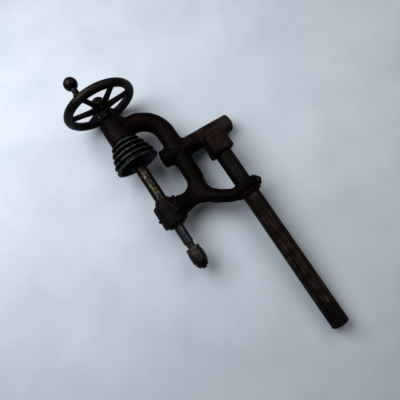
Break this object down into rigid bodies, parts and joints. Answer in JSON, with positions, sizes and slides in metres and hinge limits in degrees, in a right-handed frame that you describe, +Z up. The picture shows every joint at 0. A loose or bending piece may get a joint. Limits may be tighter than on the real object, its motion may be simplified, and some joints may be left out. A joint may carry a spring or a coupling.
{
  "type": "hand-fed drill head",
  "caption": "Small belt-driven drill head: a handwheel screw feeds the spindle and chuck, a cone pulley turns them, and a clamped round column carries the cast frame.",
  "frame": {"origin": "centre of the bounding box at floor level, with the drill lying on its side on its handwheel rim, column foot and barrel end", "axes": "+X along the column towards its foot, +Y from the spindle side to the column side, +Z up from the floor; the front of the drill faces up"},
  "size_m": [0.4688, 0.2074, 0.1157],
  "materials": {
    "casting_iron": "rusted, oil-darkened",
    "wheel_iron": "rusted, worn smooth",
    "pulley_iron": "black oxide, crests polished by the belt",
    "column_steel": "brown patina with lengthwise streaks",
    "spindle_steel": "semi-polished, bronze-brown patina above the bearing",
    "screw_steel": "oily steel",
    "knob_steel": "semi-polished",
    "fastener_steel": "plain steel",
    "chuck_steel": "tarnished",
    "jaw_steel": "hardened steel",
    "bush_bronze": "dark bronze"
  },
  "bodies": {
    "frame": {"frame_casting": "casting_iron", "column": "column_steel", "column_pin": "fastener_steel", "clamp_bolt": "fastener_steel", "clamp_washer": "fastener_steel", "clamp_nut": "fastener_steel", "bearing_screw": "fastener_steel", "upper_spindle_bush": "bush_bronze", "lower_spindle_bush": "bush_bronze", "thrust_washer": "screw_steel", "head_bush": "bush_bronze", "feed_nut": "bush_bronze"},
    "pulley": {"cone_pulley": "pulley_iron", "pulley_key_screw": "fastener_steel", "pulley_sleeve_ring": "pulley_iron"},
    "feed_carriage": {"thrust_ball": "screw_steel"},
    "screw_and_wheel": {"feed_screw": "screw_steel", "handwheel": "wheel_iron", "handwheel_pin": "fastener_steel", "handwheel_nut": "knob_steel", "handle_knob": "knob_steel"},
    "spindle_and_chuck": {"spindle": "spindle_steel", "swivel_nut": "screw_steel", "chuck_body": "chuck_steel"},
    "chuck_grip": {"chuck_sleeve": "chuck_steel", "chuck_nut": "chuck_steel"},
    "jaw_1": {"chuck_jaw_1": "jaw_steel"},
    "jaw_2": {"chuck_jaw_2": "jaw_steel"},
    "jaw_3": {"chuck_jaw_3": "jaw_steel"}
  },
  "joints": [
    {"name": "pulley_spin", "type": "hinge", "parent": "frame", "child": "pulley", "pos_m": [-0.06547, -0.0473, 0.0412], "axis": [-0.9944, 0, 0.1059], "continuous": true},
    {"name": "feed_slide", "type": "slide", "parent": "frame", "child": "feed_carriage", "axis": [-0.9944, 0, 0.1059], "range_m": [0, 0.027]},
    {"name": "handwheel_turn", "type": "hinge", "parent": "feed_carriage", "child": "screw_and_wheel", "pos_m": [-0.06547, -0.0473, 0.0412], "axis": [-0.9944, 0, 0.1059], "range_deg": [0, 3824]},
    {"name": "spindle_spin", "type": "hinge", "parent": "feed_carriage", "child": "spindle_and_chuck", "pos_m": [-0.06547, -0.0473, 0.0412], "axis": [-0.9944, 0, 0.1059], "continuous": true},
    {"name": "chuck_sleeve_turn", "type": "hinge", "parent": "spindle_and_chuck", "child": "chuck_grip", "pos_m": [0.05386, -0.0473, 0.02849], "axis": [-0.9944, 0, 0.1059], "range_deg": [0, 1439]},
    {"name": "jaw_1_slide", "type": "slide", "parent": "spindle_and_chuck", "child": "jaw_1", "axis": [-0.9661, 0.2534, 0.05], "range_m": [0, 0.005]},
    {"name": "jaw_2_slide", "type": "slide", "parent": "spindle_and_chuck", "child": "jaw_2", "axis": [-0.981, -0.1723, -0.0897], "range_m": [0, 0.005]},
    {"name": "jaw_3_slide", "type": "slide", "parent": "spindle_and_chuck", "child": "jaw_3", "axis": [-0.9345, -0.0811, 0.3467], "range_m": [0, 0.005]}
  ],
  "couplings": [
    {"joint": "feed_slide", "follows": "handwheel_turn", "m_per_rad": 0.00040425},
    {"joint": "spindle_spin", "follows": "pulley_spin", "ratio": 1},
    {"joint": "jaw_1_slide", "follows": "chuck_sleeve_turn", "m_per_rad": 0.00019894},
    {"joint": "jaw_2_slide", "follows": "chuck_sleeve_turn", "m_per_rad": 0.00019894},
    {"joint": "jaw_3_slide", "follows": "chuck_sleeve_turn", "m_per_rad": 0.00019894}
  ]
}
